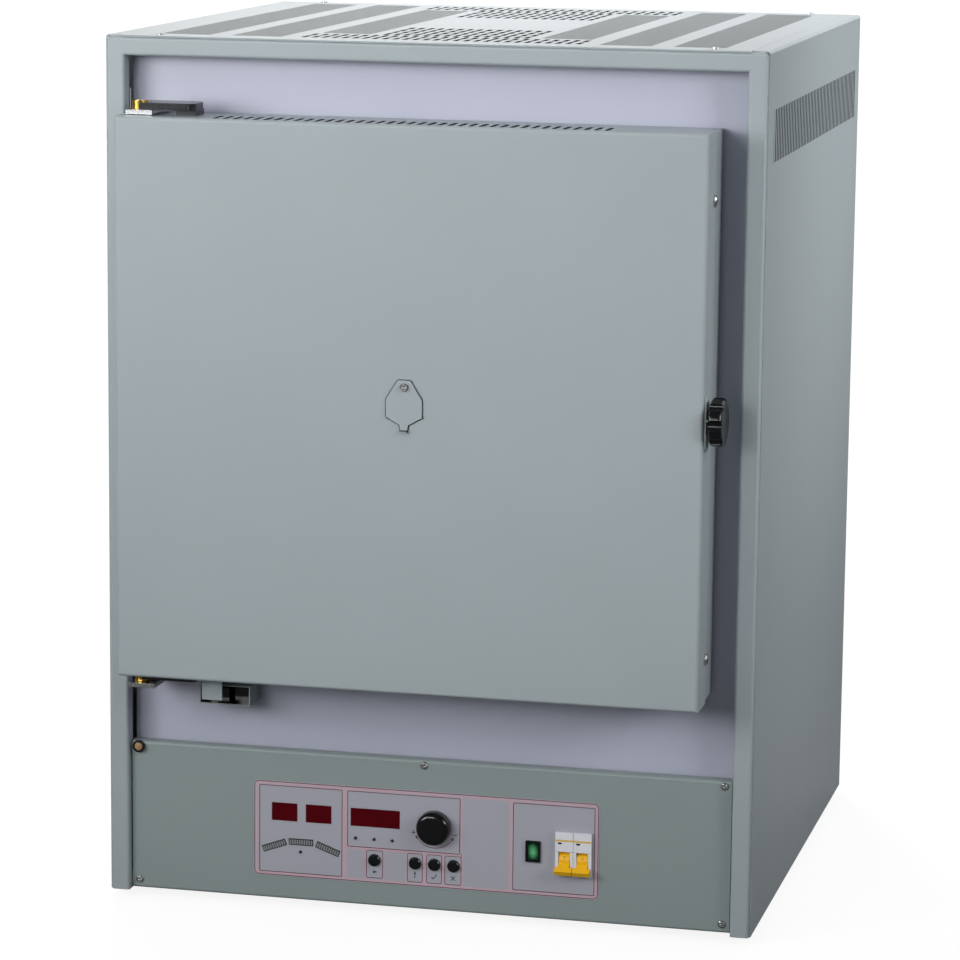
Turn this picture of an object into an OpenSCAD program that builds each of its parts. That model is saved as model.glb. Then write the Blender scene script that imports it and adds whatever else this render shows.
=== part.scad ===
// Laboratory muffle furnace with a side-hung door, a ceramic chamber and a control bay below it.
// X points to the right, Y to the back and Z up. The origin is on the floor under the middle of the furnace.
// Inside the modules heights are taken from the lower edge of the casing and depths from the front posts.

/* [Casing] */
// Width over the side panels
case_w = 650; // [640:1:700]
// Depth from the front posts to the rear flanges
case_d = 610; // [600:1:680]
// Height of the casing above its feet
case_h = 855; // [850:1:900]
// Thickness of the casing sheet
sheet_t = 1.5; // [1:0.1:2]
// Outside radius of the folds
fold_r = 3; // [2.5:0.1:4]
// Face width of the front posts and of the top rail
post_w = 20; // [18:1:22]
// Depth of the inner return of the front frame
post_return = 14; // [12:1:24]
// Distance from the frame's face to the front edge of the side panels
side_setback = 4; // [3.5:0.5:8]
// Width of the flanges along the top and the back of the side panels
side_flange = 17; // [14:1:22]
// Clearance between sheets that slide past each other
sheet_gap = 0.3; // [0.2:0.05:0.5]

/* [Feet] */
// Height of the rubber feet
foot_h = 8; // [5:1:20]
// Diameter of the rubber feet
foot_d = 36; // [24:1:50]
// Distance from the casing's edges to the foot centres
foot_inset = 60; // [45:1:90]

/* [Vents] */
// Distance between neighbouring vent slots
vent_pitch = 10; // [8:1:16]
// Width of a vent slot
vent_w = 5; // [2:0.5:5]
// Length of the long slots in the sides and in the top strips
vent_l = 50; // [30:1:56]
// Length of the short slots in the middle of the top
short_slot_l = 25; // [16:1:28]
// Distance between rows of short slots
row_pitch = 31; // [29:1:34]
// Margin from the front and the back to the vent fields
vent_margin = 36; // [34:1:50]
// Height of the lower end of the side vents
side_vent_z = 748; // [700:1:780]

/* [Fascia and control panel] */
// Depth of the fascia behind the front posts
fascia_y = 26; // [25:1:34]
// Depth of the control panel behind the front posts
panel_y = 8; // [6:1:9]
// Height of the control panel
panel_h = 153; // [146:1:158]
// Gap between the control panel and the posts
panel_gap = 1.5; // [0.8:0.1:3]
// Depth of the control panel's upper and lower lips
panel_lip = 12; // [8:1:13]
// Width of the printed overlay
overlay_w = 351; // [350:1:370]
// Height of the printed overlay
overlay_h = 97.5; // [97:0.5:104]
// Thickness of the printed overlay
overlay_t = 0.6; // [0.4:0.1:1]
// Height of the overlay's middle
overlay_z = 73; // [72:0.5:76]
// Distance from the furnace's middle to the overlay's middle
overlay_x = -1.5; // [-4:0.5:4]

/* [Chamber] */
// Inner width of the chamber
chamber_w = 340; // [300:1:360]
// Inner height of the chamber
chamber_h = 320; // [280:1:340]
// Depth of the chamber behind the fascia
chamber_d = 430; // [380:1:440]
// Height of the shelf between the chamber and the control bay
shelf_z = 200; // [194:1:206]
// Thickness of the roof insulation
roof_ins = 105; // [80:1:115]
// Thickness of the back insulation
back_ins = 95; // [70:1:100]
// Depth of the dense collar round the mouth
collar_d = 40; // [30:1:60]
// Step between the chamber and its wider mouth
mouth_step = 14; // [12:1:20]
// Depth of the wider mouth
mouth_depth = 16; // [15:1:24]
// Thickness of the jacket sheet round the insulation
jacket_t = 1; // [0.8:0.1:1.5]
// Radius of the heating coils
coil_r = 6.7; // [5:0.1:8]
// Number of heating coils in each side wall
coils = 5; // [3:1:5]
// Thickness of the hearth plate
hearth_t = 12; // [8:1:20]

/* [Door] */
// Width of the door
door_w = 575; // [570:1:580]
// Height of the door
door_h = 547; // [540:1:552]
// Height of the door's lower edge
door_z = 235; // [232:1:240]
// Gap between the left post and the door
door_side_gap = 10; // [8:1:14]
// Distance that the door stands in front of the posts
door_out = 62; // [60:1:66]
// Depth of the door's outer cover
cover_d = 42; // [38:1:46]
// Gap between the closed door and the fascia
door_gap = 3; // [2.4:0.1:4]
// Distance that the insulation plug reaches behind the fascia's face
plug_in = 13; // [10:1:14]
// Clearance round the plug in the mouth
plug_gap = 6; // [4:0.5:8]

/* [Hinges] */
// Distance from the door's left edge to the hinge axis
hinge_in = 16.5; // [12:0.5:18]
// Distance from the posts forward to the hinge axis
hinge_out = 33; // [28:1:38]
// Radius of the hinge pin
pin_r = 4; // [3:0.1:5]
// Radial clearance of every turning fit
run_gap = 0.06; // [0.03:0.01:0.09]
// Radius of the hinge barrel
barrel_r = 7.5; // [6.5:0.1:9]
// Thickness of the hinge bracket
bracket_t = 4.3; // [4:0.1:6]
// Thickness of the hinge arm over the barrel
arm_t = 6.5; // [4:0.5:7]
// Reach of the hinge arm from its axis
arm_l = 58; // [50:1:59]

/* [Latch] */
// Distance from the posts forward to the latch shaft
latch_out = 50; // [48:1:51]
// Height of the latch shaft above the door's middle
latch_up = 4; // [0:1:10]
// Radius of the latch shaft
shaft_r = 4; // [3:0.1:5]
// Radius of the star knob
knob_r = 23; // [20:0.5:26]
// Thickness of the star knob's rim
knob_t = 13; // [9:0.5:14]
// Length of the knob's hub
hub_l = 3.5; // [3:0.5:8]
// Distance from the posts back to the keeper pin
keeper_in = 40; // [38:1:44]
// Radius of the keeper pin
keeper_r = 4; // [3:0.1:5]

/* [Peephole] */
// Radius of the peephole
peep_r = 11; // [8:0.5:13]
// Distance from the peephole up to the flap's pivot
flap_pivot = 25.5; // [24:0.5:28]
// Thickness of the flap
flap_t = 1.2; // [1:0.1:1.5]

/* [Controls] */
// Radius of the setting knob
set_r = 17; // [15:0.5:18]
// Depth of the setting knob
set_d = 12; // [11:0.5:20]
// Radius of a push button
button_r = 5.9; // [5:0.1:6.5]
// Travel of a push button
button_travel = 2; // [1:0.1:2.4]
// Distance between the three push buttons in a row
button_pitch = 19.5; // [17:0.5:22]
// Width of the two-pole breaker
breaker_w = 36; // [35:0.5:37]
// Height of the breaker's front nose
breaker_h = 44; // [44:0.5:46]
// Angle between the two positions of the breaker's toggles
toggle_swing = 66; // [60:1:66]
// Angle between the two positions of the fan rocker
rocker_swing = 16; // [10:1:18]

/* [Rear] */
// Distance that the exhaust tube stands behind the casing
exhaust_out = 26; // [20:1:60]
// Outer radius of the exhaust tube
exhaust_r = 14; // [10:0.5:18]
// Size of the square cooling fan
fan_s = 119; // [80:1:125]
// Depth of the cooling fan
fan_d = 38; // [30:1:40]

/* [Hidden] */
$fn = 48;
paint = "#a3abad";
fascia_paint = "#b9bdcd";
panel_paint = "#767f80";
steel = "#c4c7cb";
brass = "#c9a24a";
black = "#1d1f21";
ceramic = "#e8e4da";
w2 = case_w / 2;
frame_w2 = w2 - sheet_t;
frame_lip = 14;
side_h = case_h - sheet_t;
post_x = w2 - post_w;
front_reach = latch_out + knob_r;
front_y = (front_reach - exhaust_out - case_d) / 2;
strip_x = [110, 181.5, 253];
strip_l = case_d - 2 * vent_margin + 8;
short_strip_l = strip_l - 4 * row_pitch - 22;
panel_w2 = post_x - panel_gap;
panel_back = panel_y + sheet_t;
panel_face = panel_y - overlay_t;
board_y = panel_back + 22;
fascia_back = fascia_y + sheet_t;
fascia_z = panel_h - panel_lip / 2;
panel_screw_z = [10, panel_h - 5.4];
mid_screw_x = -2.7;
toggle_z = -7;
door_x = -post_x + door_side_gap;
door_x1 = door_x + door_w;
door_z1 = door_z + door_h;
door_mid_x = door_x + door_w / 2;
mid_z = door_z + door_h / 2;
door_back = fascia_y - door_gap;
pan_in = sheet_t + sheet_gap / 3;
hinge_x = door_x + hinge_in;
hinge_y = -hinge_out;
latch_z = mid_z + latch_up;
latch_y = -latch_out;
hook_t = 4;
hook_x = door_x1 - 15.5;
cheek_t = 2.5;
keeper_x = hook_x - 4 - cheek_t;
jacket_w2 = keeper_x - 4;
ins_w2 = jacket_w2 - jacket_t;
jacket_z = shelf_z + sheet_t;
jacket_back = fascia_back + chamber_d + back_ins + jacket_t;
roof_z = mid_z + chamber_h / 2;
hearth_z = mid_z - chamber_h / 2;
jacket_z1 = roof_z + roof_ins + jacket_t;
back_y = fascia_back + chamber_d;
mouth_w = chamber_w + 2 * mouth_step;
mouth_h = chamber_h + 2 * mouth_step;
plug_w = mouth_w - 2 * plug_gap;
plug_h = mouth_h - 2 * plug_gap;
plug_taper = 3;
hook_space = 9;
coil_x = chamber_w / 2 + 3.5;
coil_pitch = (chamber_h - 60) / (coils - 1);
lead_r = 2.5;
exhaust_x = door_mid_x + 100;
exhaust_z = roof_z - 48;
thermo_x = door_mid_x - 60;
thermo_z = roof_z - 40;
bracket_drop = 6;
bracket_y1 = fascia_back + bracket_t;
upper_hinge_z = door_z1 + 0.8;
lower_hinge_z = door_z - sheet_gap - arm_t - 3 - bracket_t;
set_x = 8.5;
set_z = 86.3;
button_z = 48;
display_z = 90.5;
display_h = 18;
rocker_x = 108;
rocker_z = 69.2;
rocker_w = 15;
rocker_h = 21.5;
breaker_x = 149;
breaker_z = 69.5;
breaker_nose = panel_face - 4.4;
toggle_y = breaker_nose + 9;
fan_x = -150;
fan_z = 100;
gland_x = 190;
gland_z = 60;
box_x = -227.5;
box_w = 52;
box_z = 199.9;
box_h = 20;
box_out = 10;
tab_x = -220;
tab_w = 20.5;
tab_t = 2.5;
tab_y = -26;
tab_drop = 27;
screw_r = 2;
screw_head_r = 3.8;

module place() translate([0, front_y, foot_h]) children();

// A flat plate that stands in the XZ plane, from depth y backwards by t
module plate_xz(y, t) translate([0, y + t, 0]) rotate([90, 0, 0]) linear_extrude(t) children();

// A flat plate that stands in the YZ plane, from x to the right by t
module plate_yz(x, t) translate([x, 0, 0]) rotate([90, 0, 90]) linear_extrude(t) children();

// A bore or a pin along Y
module rod_y(x, y, z, r, l) translate([x, y, z]) rotate([-90, 0, 0]) cylinder(r = r, h = l);

// A bore or a pin along X
module rod_x(x, y, z, r, l) translate([x, y, z]) rotate([0, 90, 0]) cylinder(r = r, h = l);

// A block given by its low and high corners
module block(low, high) translate(low) cube(high - low);

module soft_rect(w, h, r) {
    square([w - 2 * r, h], center = true);
    square([w, h - 2 * r], center = true);
    for (sx = [-1, 1], sy = [-1, 1])
        translate([sx * (w / 2 - r), sy * (h / 2 - r)]) circle(r);
}

// A slot with round ends along the first axis
module slot(l, w) {
    square([l - w, w], center = true);
    for (s = [-1, 1]) translate([s * (l - w) / 2, 0]) circle(w / 2, $fn = 16);
}

// A quarter of a sheet fold round the origin, towards the signs sx and sy
module fold(sx, sy, r = fold_r, t = sheet_t) intersection() {
    difference() {
        circle(r);
        circle(r - t);
    }
    translate([min(0, sx * r), min(0, sy * r)]) square(r);
}

// A row of upright long slots, drawn along the first axis
module vent_row(run, l = vent_l) {
    n = floor(run / vent_pitch);
    for (i = [0 : n]) translate([(i - n / 2) * vent_pitch, 0]) square([vent_w, l], center = true);
}

// A pan-head screw that points along +Y from its seat at depth y
module screw_y(x, y, z, r = screw_head_r, h = 1) {
    translate([x, y, z]) rotate([-90, 0, 0]) difference() {
        union() {
            translate([0, 0, -h]) cylinder(r = r, h = h);
            translate([0, 0, -2 * h]) cylinder(r1 = r * 0.65, r2 = r, h = h);
            cylinder(r = screw_r - 0.2, h = 5);
        }
        for (a = [0, 90]) rotate(a) translate([-r * 0.5, -0.4, -2 * h - 0.1]) cube([r, 0.8, 1.1]);
    }
}

// Casing

module frame_profile_x() {
    translate([frame_w2 - sheet_t, fold_r]) square([sheet_t, frame_lip]);
    translate([post_x, fold_r]) square([sheet_t, post_return - fold_r]);
    translate([post_x + fold_r, 0]) square([frame_w2 - post_x - 2 * fold_r, sheet_t]);
    translate([frame_w2 - fold_r, fold_r]) fold(1, -1);
    translate([post_x + fold_r, fold_r]) fold(-1, -1);
}

module frame_profile_rail() {
    translate([fold_r, side_h - sheet_t]) square([frame_lip, sheet_t]);
    translate([fold_r, case_h - post_w]) square([post_return - fold_r, sheet_t]);
    translate([0, case_h - post_w + fold_r]) square([sheet_t, side_h - case_h + post_w - 2 * fold_r]);
    translate([fold_r, side_h - fold_r]) fold(-1, 1);
    translate([fold_r, case_h - post_w + fold_r]) fold(-1, -1);
}

module front_frame() color(paint) place() difference() {
    union() {
        for (side = [0, 1]) mirror([side, 0, 0]) {
            linear_extrude(side_h - fold_r) frame_profile_x();
            for (z = panel_screw_z)
                block([post_x - 18, panel_back, max(z - 8, fold_r + 1.2)],
                    [post_x + sheet_t, panel_back + sheet_t, min(z + 8, panel_h - fold_r - 0.2)]);
        }
        plate_yz(-frame_w2 + fold_r, 2 * (frame_w2 - fold_r)) frame_profile_rail();
        for (side = [0, 1]) mirror([side, 0, 0])
            translate([frame_w2 - fold_r, 0, side_h - fold_r]) frame_corner();
    }
    for (side = [0, 1]) mirror([side, 0, 0])
        block([0, -1, case_h - post_w - 30], [post_x, post_return + 1, case_h - post_w]);
    for (x = [-272, 272]) translate([x, 12, side_h - 5]) cylinder(r = screw_r, h = 6, $fn = 24);
    for (s = [-1, 1], z = panel_screw_z) rod_y(s * (post_x - 9), panel_y, z, screw_r, 6);
}

// The rounded outer corner of the frame where a post meets the rail
module frame_corner() {
    intersection() {
        plate_xz(0, sheet_t) circle(fold_r);
        cube([fold_r, sheet_t, fold_r]);
    }
}

module side_profile() {
    translate([w2 - sheet_t, side_setback]) square([sheet_t, case_d - side_setback - fold_r]);
    translate([w2 - side_flange, case_d - sheet_t]) square([side_flange - fold_r, sheet_t]);
    translate([w2 - fold_r, case_d - fold_r]) fold(1, 1);
}

module side_panel() difference() {
    union() {
        linear_extrude(case_h - fold_r) side_profile();
        translate([0, side_setback, 0]) rotate([90, 0, 0])
            translate([0, 0, -(case_d - side_setback)]) linear_extrude(case_d - side_setback) {
                translate([w2 - fold_r, case_h - fold_r]) fold(1, 1);
                translate([w2 - side_flange, case_h - sheet_t]) square([side_flange - fold_r, sheet_t]);
            }
    }
    translate([0, case_d / 2, side_vent_z + vent_l / 2])
        plate_yz(w2 - sheet_t - 1, sheet_t + 2) vent_row(strip_l);
    for (z = rear_screw_z()) rod_y(w2 - side_flange / 2, case_d - 4, z, screw_r, 8);
}

module side_panel_right() color(paint) place() side_panel();

module side_panel_left() color(paint) place() mirror([1, 0, 0]) side_panel();

function rear_screw_z() = [for (i = [0 : 4]) 30 + i * (case_h - 60) / 4];

top_w2 = w2 - side_flange - sheet_gap;
top_fold = sheet_t + 0.3;

module top_slots() {
    for (s = [-1, 1]) {
        for (i = [1, 2]) translate([s * strip_x[i], 0]) rotate(90) vent_row(strip_l);
        translate([s * strip_x[0], 0]) rotate(90) vent_row(short_strip_l);
        for (row = [0, 1])
            translate([0, s * (strip_l / 2 - short_slot_l / 2 - row * row_pitch)]) slot_row(27);
        for (row = [2 : 5])
            translate([0, s * (strip_l / 2 - short_slot_l / 2 - row * row_pitch)]) slot_row(14);
    }
}

// A row of short slots that run from front to back
module slot_row(n) for (i = [0 : n])
    translate([(i - n / 2) * vent_pitch, 0]) square([vent_w, short_slot_l], center = true);

module top_panel() color(paint) place() {
    translate([0, 0, case_h - sheet_t]) linear_extrude(sheet_t) difference() {
        translate([-top_w2, top_fold]) square([2 * top_w2, case_d - top_fold - sheet_gap]);
        translate([0, case_d / 2]) top_slots();
        for (x = [-272, 272], y = [12, case_d - 12]) translate([x, y]) circle(screw_r, $fn = 24);
    }
    plate_yz(-top_w2, 2 * top_w2) {
        translate([top_fold, case_h - top_fold]) fold(-1, 1, top_fold);
        translate([case_d - sheet_gap - sheet_t, case_h - 18]) square([sheet_t, 18 - sheet_t]);
    }
}

module rear_panel() color(paint) place() plate_xz(case_d, sheet_t) difference() {
    translate([0, case_h / 2]) soft_rect(case_w - 4, case_h - 4, 2);
    for (s = [-1, 1], z = rear_screw_z()) translate([s * (w2 - side_flange / 2), z]) circle(screw_r);
    for (z = [case_h - 60, case_h - 120]) translate([0, z]) vent_row(case_w - 170, 40);
    for (z = [40, 150]) translate([60, z]) vent_row(140, 40);
    translate([exhaust_x, exhaust_z]) circle(exhaust_r + 1);
    translate([fan_x, fan_z]) circle(fan_s / 2 - 3);
    translate([fan_x, fan_z]) fan_holes();
    translate([gland_x, gland_z]) circle(8.2);
}

module fan_holes() for (sx = [-1, 1], sz = [-1, 1])
    translate([sx * (fan_s / 2 - 7), sz * (fan_s / 2 - 7)]) circle(screw_r + 0.2);

base_y = panel_y + panel_lip + 1;
base_side_y = max(post_return, fold_r + frame_lip) + 1;

module base_pan() color(steel) place() {
    linear_extrude(sheet_t) difference() {
        translate([-frame_w2 + sheet_gap, base_y]) square([2 * (frame_w2 - sheet_gap), case_d - base_y - 2]);
        for (s = [-1, 1]) translate([s * w2, 0]) square([2 * (post_w + sheet_gap), 2 * base_side_y], center = true);
        for (x = [-130, 130]) translate([x, 180]) vent_row(180, 60);
        for (p = foot_points()) translate(p) circle(3.2);
    }
    for (s = [-1, 1]) translate([s * (frame_w2 - sheet_gap - sheet_t / 2), (base_side_y + case_d - 4) / 2, 10])
        cube([sheet_t, case_d - 4 - base_side_y, 20], center = true);
    block([-frame_w2 + 30, case_d - 2 - sheet_t, 0], [frame_w2 - 30, case_d - 2, 18]);
}

function foot_points() = [for (sx = [-1, 1], y = [foot_inset, case_d - foot_inset]) [sx * (w2 - foot_inset), y]];

module feet() color(black) place() for (p = foot_points()) translate([p[0], p[1], 0]) {
    rotate_extrude() polygon([[0, -foot_h + 2.5], [4, -foot_h + 2.5], [4.5, -foot_h], [foot_d / 2 - 3, -foot_h],
        [foot_d / 2 - 1.5, -foot_h + 1.5], [foot_d / 2, -0.01], [foot_d / 2, 0], [0, 0]]);
    cylinder(r = 3.1, h = sheet_t + 4);
}

module fascia() color(fascia_paint) place() difference() {
    union() {
        block([-post_x + sheet_gap, fascia_y, fascia_z], [post_x - sheet_gap, fascia_back, case_h - 8]);
        for (s = [-1, 1]) translate([s * (post_x - sheet_gap - sheet_t / 2), fascia_back + 6, (fascia_z + case_h - 8) / 2])
            cube([sheet_t, 12, case_h - 8 - fascia_z], center = true);
        block([mid_screw_x - 9, panel_back, panel_h - 16], [mid_screw_x + 9, panel_back + sheet_t, panel_h - fold_r - 0.2]);
        block([mid_screw_x - 9, panel_back, panel_h - 16], [mid_screw_x + 9, fascia_back, panel_h - 15]);
        block([mid_screw_x - 9, fascia_y, panel_h - 16], [mid_screw_x + 9, fascia_back, fascia_z + 1]);
    }
    rod_y(mid_screw_x, panel_y, panel_screw_z[1], screw_r, 6);
    translate([0, 0, mid_z]) plate_xz(fascia_y - 1, sheet_t + 2) translate([door_mid_x, 0]) soft_rect(mouth_w, mouth_h, 6);
    hook_slot(fascia_y - 1, sheet_t + 2);
    for (z = [upper_hinge_z, lower_hinge_z]) bracket_slot(z);
    for (s = [0.2, 0.8]) rod_y(box_x + box_w * s, fascia_y - 1, box_z + box_h / 2 + 6, 1.6, 4);
}

module hook_slot(y, t) plate_xz(y, t) translate([hook_x + hook_t / 2, latch_z + 30]) rotate(90) slot(104, hook_t + 6);

module bracket_slot(z) block([hinge_x - 11, fascia_y - 1, z - 0.5], [hinge_x + 17.5, fascia_back + 1, z + bracket_t + 0.5]);

module bay_shelf() color(steel) place() difference() {
    union() {
        block([-frame_w2 + sheet_gap, fascia_back + 14, shelf_z], [frame_w2 - sheet_gap, case_d - 4, shelf_z + sheet_t]);
        for (s = [-1, 1]) translate([s * (frame_w2 - sheet_gap - sheet_t / 2), case_d / 2 + 20, shelf_z - 7])
            cube([sheet_t, case_d - 48, 16], center = true);
        block([-post_x + 4, fascia_back + 0.2, shelf_z], [post_x - 4, fascia_back + 15, shelf_z + sheet_t]);
    }
    for (x = [-200, 200]) translate([x, 0, 0]) for (y = [120, 480]) translate([0, y, shelf_z - 1]) cylinder(r = 12, h = 4);
}

// Chamber

module inner_case() color(steel) place() difference() {
    block([door_mid_x - jacket_w2, fascia_back, jacket_z], [door_mid_x + jacket_w2, jacket_back, jacket_z1]);
    block([door_mid_x - ins_w2, fascia_back - 1, jacket_z + jacket_t], [door_mid_x + ins_w2, jacket_back - jacket_t, jacket_z1 - jacket_t]);
    back_bores(jacket_back - 3, 6, 0.4);
}

// The holes through the back of the chamber for its tubes and leads
module back_bores(y, l, gap) {
    rod_y(exhaust_x, y, exhaust_z, exhaust_r + gap, l);
    rod_y(thermo_x, y, thermo_z, 4 + gap, l);
    for (s = [-1, 1], i = [0 : coils - 1]) rod_y(door_mid_x + s * coil_x, y, coil_z(i), lead_r + gap, l);
}

function coil_z(i) = hearth_z + 30 + i * coil_pitch;

module mouth_collar() color(ceramic) place() difference() {
    block([door_mid_x - ins_w2, fascia_back, jacket_z + jacket_t], [door_mid_x + ins_w2, fascia_back + collar_d, jacket_z1 - jacket_t]);
    translate([door_mid_x, 0, mid_z]) {
        plate_xz(fascia_back - 1, collar_d + 2) square([chamber_w, chamber_h], center = true);
        plate_xz(fascia_back - 1, mouth_depth + 1) soft_rect(mouth_w, mouth_h, 6);
    }
}

module chamber_insulation() color(ceramic) place() {
    y0 = fascia_back + collar_d;
    y1 = jacket_back - jacket_t;
    block([door_mid_x - ins_w2, y0, jacket_z + jacket_t], [door_mid_x + ins_w2, y1, hearth_z - 0.2]);
    block([door_mid_x - ins_w2, y0, roof_z + 0.2], [door_mid_x + ins_w2, y1, jacket_z1 - jacket_t]);
    for (side = [0, 1]) translate([door_mid_x, 0, 0]) mirror([side, 0, 0]) difference() {
        block([chamber_w / 2, y0, hearth_z], [ins_w2, back_y, roof_z]);
        for (i = [0 : coils - 1]) rod_y(coil_x, y0 - 1, coil_z(i), coil_r + 0.3, back_y - y0 + 2);
    }
    difference() {
        block([door_mid_x - ins_w2, back_y + 0.2, hearth_z], [door_mid_x + ins_w2, y1, roof_z]);
        back_bores(back_y - 1, back_ins + 2, 0.3);
    }
}

module heating_coils() color("#8a7f78") place() for (s = [-1, 1], i = [0 : coils - 1]) {
    rod_y(door_mid_x + s * coil_x, fascia_back + collar_d + 0.3, coil_z(i), coil_r, back_y - fascia_back - collar_d - 0.6);
    rod_y(door_mid_x + s * coil_x, back_y - 0.4, coil_z(i), lead_r, back_ins + jacket_t + 22);
}

module hearth_plate() color("#cfc6b4") place() translate([door_mid_x, fascia_back + collar_d + 8, hearth_z]) {
    l = back_y - fascia_back - collar_d - 16;
    translate([0, l / 2, 0]) linear_extrude(hearth_t - 3) soft_rect(chamber_w - 24, l, 8);
    translate([0, l / 2, hearth_t - 3]) linear_extrude(3) difference() {
        soft_rect(chamber_w - 24, l, 8);
        soft_rect(chamber_w - 40, l - 16, 6);
    }
}

module thermocouple() color(ceramic) place() {
    rod_y(thermo_x, back_y - 24, thermo_z, 4, back_ins + jacket_t + 26);
    rod_y(thermo_x, jacket_back + 0.2, thermo_z, 12, 4);
    rod_y(thermo_x, jacket_back + 4.2, thermo_z, 9, 24);
}

module exhaust_tube() color(ceramic) place() {
    translate([exhaust_x, 0, exhaust_z]) rotate([-90, 0, 0]) difference() {
        union() {
            translate([0, 0, back_y]) cylinder(r = exhaust_r, h = case_d + exhaust_out - back_y);
            translate([0, 0, case_d + sheet_t]) cylinder(r = exhaust_r + 9, h = 3);
        }
        translate([0, 0, back_y - 1]) cylinder(r = exhaust_r - 4.5, h = case_d);
    }
}

// Control bay

module panel_cutouts() {
    for (d = displays()) translate([d[0], display_z]) square([d[1] + 0.4, display_h + 0.4], center = true);
    for (b = light_bars()) translate([b[0], b[1]]) rotate(b[2]) square([25.4, 6.9], center = true);
    for (l = leds()) translate(l) circle(1.7, $fn = 24);
    for (x = button_xs()) translate([x, button_z]) circle(button_r + 0.35);
    translate([set_x, set_z]) circle(3.7);
    translate([rocker_x, rocker_z]) square([rocker_w - 1.6, rocker_h - 1.6], center = true);
    translate([breaker_x, breaker_z]) square([breaker_w + 0.6, breaker_h + 0.6], center = true);
}

// Middle and width of each display window
function displays() = [[-145, 26], [-110, 26], [-52, 50]];

// Middle, height and tilt of each light bar
function light_bars() = [[-155.5, 55.5, 20], [-128, 60.5, 0], [-100.5, 55.5, -20]];

function leds() = [[-128.5, 50.5], [-72, 69], [-53, 69], [-34.5, 69]];

function button_xs() = [-52.5, -11, -11 + button_pitch, -11 + 2 * button_pitch];

module control_panel() color(panel_paint) place() {
    plate_xz(panel_y, sheet_t) difference() {
        translate([-panel_w2, 1 + fold_r]) square([2 * panel_w2, panel_h - 1 - 2 * fold_r]);
        panel_cutouts();
        for (x = [-panel_w2 + 7.5, panel_w2 - 7.5], z = panel_screw_z) translate([x, z]) circle(screw_r);
        translate([mid_screw_x, panel_screw_z[1]]) circle(screw_r);
    }
    plate_yz(-panel_w2, 2 * panel_w2) translate([panel_y, 0]) {
        translate([fold_r, panel_h - fold_r]) fold(-1, 1);
        translate([fold_r, panel_h - sheet_t]) square([panel_lip - fold_r, sheet_t]);
        translate([fold_r, 1 + fold_r]) fold(-1, -1);
        translate([fold_r, 1]) square([panel_lip - fold_r, sheet_t]);
    }
}

module control_overlay() color("#98a0aa") place() plate_xz(panel_face, overlay_t) difference() {
    translate([overlay_x, overlay_z]) soft_rect(overlay_w, overlay_h, 5);
    panel_cutouts();
}

module display_windows() color("#5a0008") place() for (d = displays())
    translate([d[0], 0, display_z]) plate_xz(panel_face, 3) square([d[1], display_h], center = true);

module indicator_lamps() color("#70757a") place() {
    for (b = light_bars()) translate([b[0], 0, b[1]]) rotate([0, -b[2], 0])
        plate_xz(panel_face - 0.3, board_y - panel_face + 0.3) square([25, 6.5], center = true);
    for (l = leds()) rod_y(l[0], panel_face - 0.6, l[1], 1.5, board_y - panel_face + 0.6);
}

module control_board() color("#2c5a3c") place() {
    difference() {
        block([-175, board_y, 30], [45, board_y + 1.6, 116]);
        for (x = [-169, 39], z = [36, 110]) rod_y(x, board_y - 1, z, 1.6, 4);
    }
    for (x = [-169, 39], z = [36, 110]) rod_y(x, panel_back, z, 3, board_y - panel_back);
    for (d = displays()) block([d[0] - d[1] / 2, panel_face + 3.2, display_z - 9], [d[0] + d[1] / 2, board_y, display_z + 9]);
    block([-140, board_y + 1.6, 60], [-100, board_y + 5, 75]);
    block([-20, board_y + 1.6, 40], [12, board_y + 14, 62]);
    for (x = [-80, -60]) rod_y(x, board_y + 1.6, 90, 6, 18);
}

module encoder_body() color(steel) place() difference() {
    union() {
        translate([set_x, 0, set_z]) plate_xz(panel_back, 8) soft_rect(14, 13, 1);
        translate([set_x, 0, set_z]) plate_xz(panel_back + 8, board_y - panel_back - 8) square([10, 9], center = true);
        rod_y(set_x, panel_face - 4, set_z, 3.5, panel_back - panel_face + 4);
        rod_y(set_x, panel_face - 2.2, set_z, 5.5, 2.2);
    }
    rod_y(set_x, panel_face - 5, set_z, 3 + run_gap, 18);
}

switch_y = panel_back + 6;

module button_switches() color(black) place() for (x = button_xs()) difference() {
    translate([x, 0, button_z]) plate_xz(switch_y, board_y - switch_y) soft_rect(13, 13, 1);
    rod_y(x, switch_y - 1, button_z, 2 + run_gap, 9);
}

module rocker_bezel() color(black) place() translate([rocker_x, 0, rocker_z]) difference() {
    union() {
        plate_xz(panel_face - 2, 2) soft_rect(rocker_w, rocker_h, 1.2);
        plate_xz(panel_face, 20) square([rocker_w - 2, rocker_h - 2], center = true);
    }
    plate_xz(panel_face - 3, 15) square([rocker_w - 4, rocker_h - 3.2], center = true);
    rod_x(-7, panel_face + 4, 0, 1.5 + run_gap, 14);
}

module breaker_body() color("#dcdde2") place() translate([breaker_x, 0, breaker_z]) difference() {
    union() {
        plate_xz(breaker_nose, 16) square([breaker_w, breaker_h], center = true);
        plate_xz(breaker_nose + 16, 42) square([breaker_w, breaker_h + 36], center = true);
    }
    for (s = [-1, 1])
        block([s * breaker_w / 4 - 5.9, breaker_nose - 1, toggle_z - 9.4], [s * breaker_w / 4 + 5.9, toggle_y + 9, toggle_z + 9.4]);
    for (x = [-13.6, 4.8]) translate([x, 0, 10.8]) plate_xz(breaker_nose - 1, 1.8) square([4, 1.9], center = true);
    block([-0.3, breaker_nose - 1, -breaker_h / 2 - 1], [0.3, breaker_nose + 0.8, breaker_h / 2 + 1]);
}

rail_y = breaker_nose + 58;

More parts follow.
